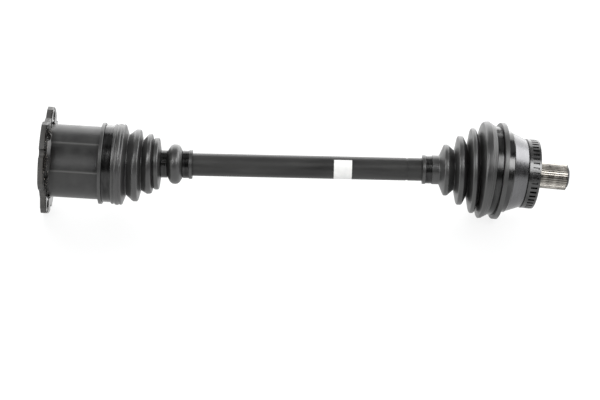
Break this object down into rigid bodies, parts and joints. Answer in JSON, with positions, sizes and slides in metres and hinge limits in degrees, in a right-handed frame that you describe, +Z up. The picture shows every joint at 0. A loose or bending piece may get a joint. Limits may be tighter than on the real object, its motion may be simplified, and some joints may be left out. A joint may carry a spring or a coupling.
{
  "type": "cv axle",
  "caption": "Front half shaft with a flanged sliding tripod joint, a solid bar, a ball joint with splined stub and a slotted sensor ring, both joints under folded boots.",
  "frame": {"origin": "middle of the mating face of the gearbox flange", "axes": "+X along the bar from the gearbox end to the wheel end, +Z up as the shaft lies, -Y towards the picture's camera"},
  "size_m": [0.5898, 0.1196, 0.1135],
  "materials": {
    "can_paint": "black paint over a forging, half gloss",
    "cover_steel": "pressed steel",
    "seal_rubber": "moulded, matt",
    "bearing_steel": "ground steel under grease",
    "spring_steel": "blackened spring steel",
    "boot_plastic": "moulded thermoplastic, satin",
    "band_steel": "dull dark steel strip",
    "shaft_paint": "thin black paint, satin, with lighter streaks",
    "thrust_plastic": "moulded, matt",
    "bell_steel": "turned steel",
    "ring_steel": "blackened sheet steel"
  },
  "bodies": {
    "housing": {"inner_housing": "can_paint", "end_cover": "cover_steel", "cover_seal": "seal_rubber", "inner_boot_large_band": "band_steel"},
    "inner_boot": {"inner_boot": "boot_plastic"},
    "roller_1": {"roller_1": "bearing_steel", "needles_1": "bearing_steel"},
    "shaft": {"drive_shaft": "shaft_paint", "spider": "bearing_steel", "trunnion_snap_rings": "spring_steel", "spider_circlip": "spring_steel", "inner_boot_neck_band": "band_steel", "inner_boot_small_band": "band_steel", "inner_race": "bearing_steel", "race_circlip": "spring_steel", "dished_washer": "spring_steel", "thrust_ring": "thrust_plastic", "outer_boot_small_band": "band_steel"},
    "roller_2": {"roller_2": "bearing_steel", "needles_2": "bearing_steel"},
    "roller_3": {"roller_3": "bearing_steel", "needles_3": "bearing_steel"},
    "outer_boot": {"outer_boot": "boot_plastic"},
    "cage": {"ball_cage": "bearing_steel", "balls": "bearing_steel"},
    "bell": {"bell_housing": "bell_steel", "toothed_ring": "ring_steel", "outer_boot_large_band": "band_steel"}
  },
  "joints": [
    {"name": "inner_plunge", "type": "slide", "parent": "housing", "child": "inner_boot", "axis": [0.999, 0, -0.0436], "range_m": [-0.012, 0.014], "deforming": ["inner_boot"]},
    {"name": "inner_pitch", "type": "hinge", "parent": "inner_boot", "child": "roller_1", "pos_m": [0.04296, 0, -0.00188], "axis": [0, 1, 0], "range_deg": [-10.5, 15.5], "deforming": ["inner_boot"]},
    {"name": "inner_yaw", "type": "hinge", "parent": "roller_1", "child": "shaft", "pos_m": [0.04296, 0, -0.00188], "axis": [0, 0, 1], "range_deg": [-13, 13], "deforming": ["inner_boot"]},
    {"name": "roller_2_spin", "type": "hinge", "parent": "shaft", "child": "roller_2", "pos_m": [0.04296, 0, -0.00188], "axis": [0, -0.866, -0.5], "continuous": true},
    {"name": "roller_3_spin", "type": "hinge", "parent": "shaft", "child": "roller_3", "pos_m": [0.04296, 0, -0.00188], "axis": [0, 0.866, -0.5], "continuous": true},
    {"name": "outer_pitch", "type": "hinge", "parent": "shaft", "child": "outer_boot", "pos_m": [0.51096, 0, -0.00188], "axis": [0, 1, 0], "range_deg": [-13.6, 2.4], "deforming": ["outer_boot"]},
    {"name": "outer_steer_cage", "type": "hinge", "parent": "outer_boot", "child": "cage", "pos_m": [0.51096, 0, -0.00188], "axis": [0.0976, 0, 0.9952], "range_deg": [-20.8, 18.2], "deforming": ["outer_boot"]},
    {"name": "outer_steer_bell", "type": "hinge", "parent": "cage", "child": "bell", "pos_m": [0.51096, 0, -0.00188], "axis": [0.0976, 0, 0.9952], "range_deg": [-20.8, 18.2], "deforming": ["outer_boot"]}
  ],
  "couplings": [
    {"joint": "outer_steer_bell", "follows": "outer_steer_cage", "ratio": 1}
  ]
}
